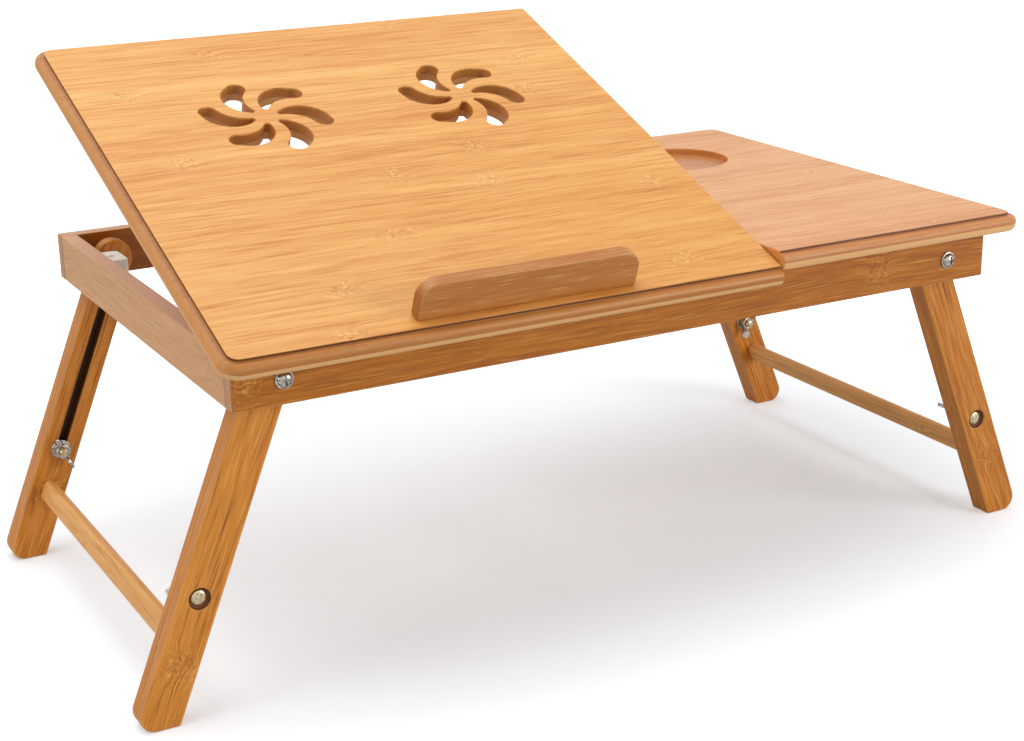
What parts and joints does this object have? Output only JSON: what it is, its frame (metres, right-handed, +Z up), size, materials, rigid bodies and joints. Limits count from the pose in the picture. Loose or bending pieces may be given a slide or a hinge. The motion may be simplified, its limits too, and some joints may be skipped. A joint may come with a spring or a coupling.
{
  "type": "laptop stand with drawer",
  "caption": "Folding bamboo laptop table: tilting top with fan-shaped vents and a stop ledge, fixed side top with a cup recess, drawer, and folding legs that extend.",
  "frame": {"origin": "on the floor, under the middle of the frame between the two pairs of legs", "axes": "+X to the right, from the tilting top to the fixed top, out of the drawer; +Y to the back, away from the user; +Z up"},
  "size_m": [0.6378, 0.3519, 0.3376],
  "materials": {
    "bamboo_top": "satin lacquer on laminated bamboo",
    "bamboo_frame": "satin lacquer on laminated bamboo",
    "bamboo_leg": "satin lacquer on laminated bamboo",
    "bamboo_light": "satin lacquer on pale bamboo",
    "zinc_steel": "bright zinc plating",
    "white_nylon": "moulded nylon"
  },
  "bodies": {
    "frame": {"front_rail": "bamboo_frame", "back_rail": "bamboo_frame", "left_end_rail": "bamboo_frame", "right_end_stub_front": "bamboo_frame", "right_end_stub_back": "bamboo_frame", "middle_bar": "bamboo_frame", "rack_bar": "bamboo_frame", "rack_screws": "zinc_steel", "fixed_top": "bamboo_top", "leg_lock_block_front": "white_nylon", "leg_lock_block_back": "white_nylon", "lock_block_screws": "zinc_steel", "drawer_runner_front": "bamboo_light", "drawer_runner_back": "bamboo_light", "drawer_stop": "bamboo_light", "pivot_screws": "zinc_steel", "pivot_washers": "zinc_steel", "pivot_spacers": "white_nylon", "pivot_nuts": "zinc_steel", "hinge_leaf_frame_left": "zinc_steel", "hinge_leaf_frame_right": "zinc_steel", "hinge_pins": "zinc_steel", "hinge_screws_frame": "zinc_steel"},
    "tilting_top": {"tilt_top": "bamboo_top", "stop_ledge": "bamboo_top", "hinge_leaf_top_left": "zinc_steel", "hinge_leaf_top_right": "zinc_steel", "prop_clips": "white_nylon", "tilt_screws": "zinc_steel"},
    "prop": {"prop_rod": "zinc_steel"},
    "drawer": {"drawer_front": "bamboo_frame", "drawer_side_front": "bamboo_light", "drawer_side_back": "bamboo_light", "drawer_back": "bamboo_light", "drawer_bottom": "bamboo_light"},
    "left_legs": {"upper_leg_front_left": "bamboo_leg", "upper_leg_back_left": "bamboo_leg", "leg_bolts_left": "zinc_steel", "clamp_washers_left": "zinc_steel"},
    "left_extension": {"extension_leg_front_left": "bamboo_leg", "extension_leg_back_left": "bamboo_leg", "crossbar_left": "bamboo_light", "crossbar_screws_left": "zinc_steel"},
    "right_legs": {"upper_leg_front_right": "bamboo_leg", "upper_leg_back_right": "bamboo_leg", "leg_bolts_right": "zinc_steel", "clamp_washers_right": "zinc_steel"},
    "right_extension": {"extension_leg_front_right": "bamboo_leg", "extension_leg_back_right": "bamboo_leg", "crossbar_right": "bamboo_light", "crossbar_screws_right": "zinc_steel"},
    "wing_nut_front_left": {"wing_nut_front_left": "zinc_steel"},
    "wing_nut_back_left": {"wing_nut_back_left": "zinc_steel"},
    "wing_nut_front_right": {"wing_nut_front_right": "zinc_steel"},
    "wing_nut_back_right": {"wing_nut_back_right": "zinc_steel"}
  },
  "joints": [
    {"name": "top_tilt", "type": "hinge", "parent": "frame", "child": "tilting_top", "pos_m": [0, -0.1484, 0.21058], "axis": [1, 0, 0], "range_deg": [-20.9, 13.1]},
    {"name": "prop_swing", "type": "hinge", "parent": "tilting_top", "child": "prop", "pos_m": [0, -0.02882, 0.25624], "axis": [1, 0, 0], "range_deg": [-26.3, 41.9]},
    {"name": "drawer_slide", "type": "slide", "parent": "frame", "child": "drawer", "axis": [1, 0, 0], "range_m": [0, 0.116]},
    {"name": "left_legs_fold", "type": "hinge", "parent": "frame", "child": "left_legs", "pos_m": [-0.2299, 0, 0.19768], "axis": [0, -1, 0], "range_deg": [0, 112]},
    {"name": "left_legs_slide", "type": "slide", "parent": "left_legs", "child": "left_extension", "axis": [0.3746, 0, 0.9272], "range_m": [-0.107, 0]},
    {"name": "right_legs_fold", "type": "hinge", "parent": "frame", "child": "right_legs", "pos_m": [0.2299, 0, 0.19768], "axis": [0, 1, 0], "range_deg": [0, 112]},
    {"name": "right_legs_slide", "type": "slide", "parent": "right_legs", "child": "right_extension", "axis": [-0.3746, 0, 0.9272], "range_m": [-0.107, 0]},
    {"name": "wing_nut_front_left_spin", "type": "hinge", "parent": "left_legs", "child": "wing_nut_front_left", "pos_m": [-0.27991, -0.125, 0.0739], "axis": [0, 1, 0], "continuous": true},
    {"name": "wing_nut_back_left_spin", "type": "hinge", "parent": "left_legs", "child": "wing_nut_back_left", "pos_m": [-0.27991, 0.125, 0.0739], "axis": [0, 1, 0], "continuous": true},
    {"name": "wing_nut_front_right_spin", "type": "hinge", "parent": "right_legs", "child": "wing_nut_front_right", "pos_m": [0.27991, -0.125, 0.0739], "axis": [0, 1, 0], "continuous": true},
    {"name": "wing_nut_back_right_spin", "type": "hinge", "parent": "right_legs", "child": "wing_nut_back_right", "pos_m": [0.27991, 0.125, 0.0739], "axis": [0, 1, 0], "continuous": true}
  ],
  "couplings": [
    {"joint": "prop_swing", "follows": "top_tilt", "ratio": -2}
  ]
}
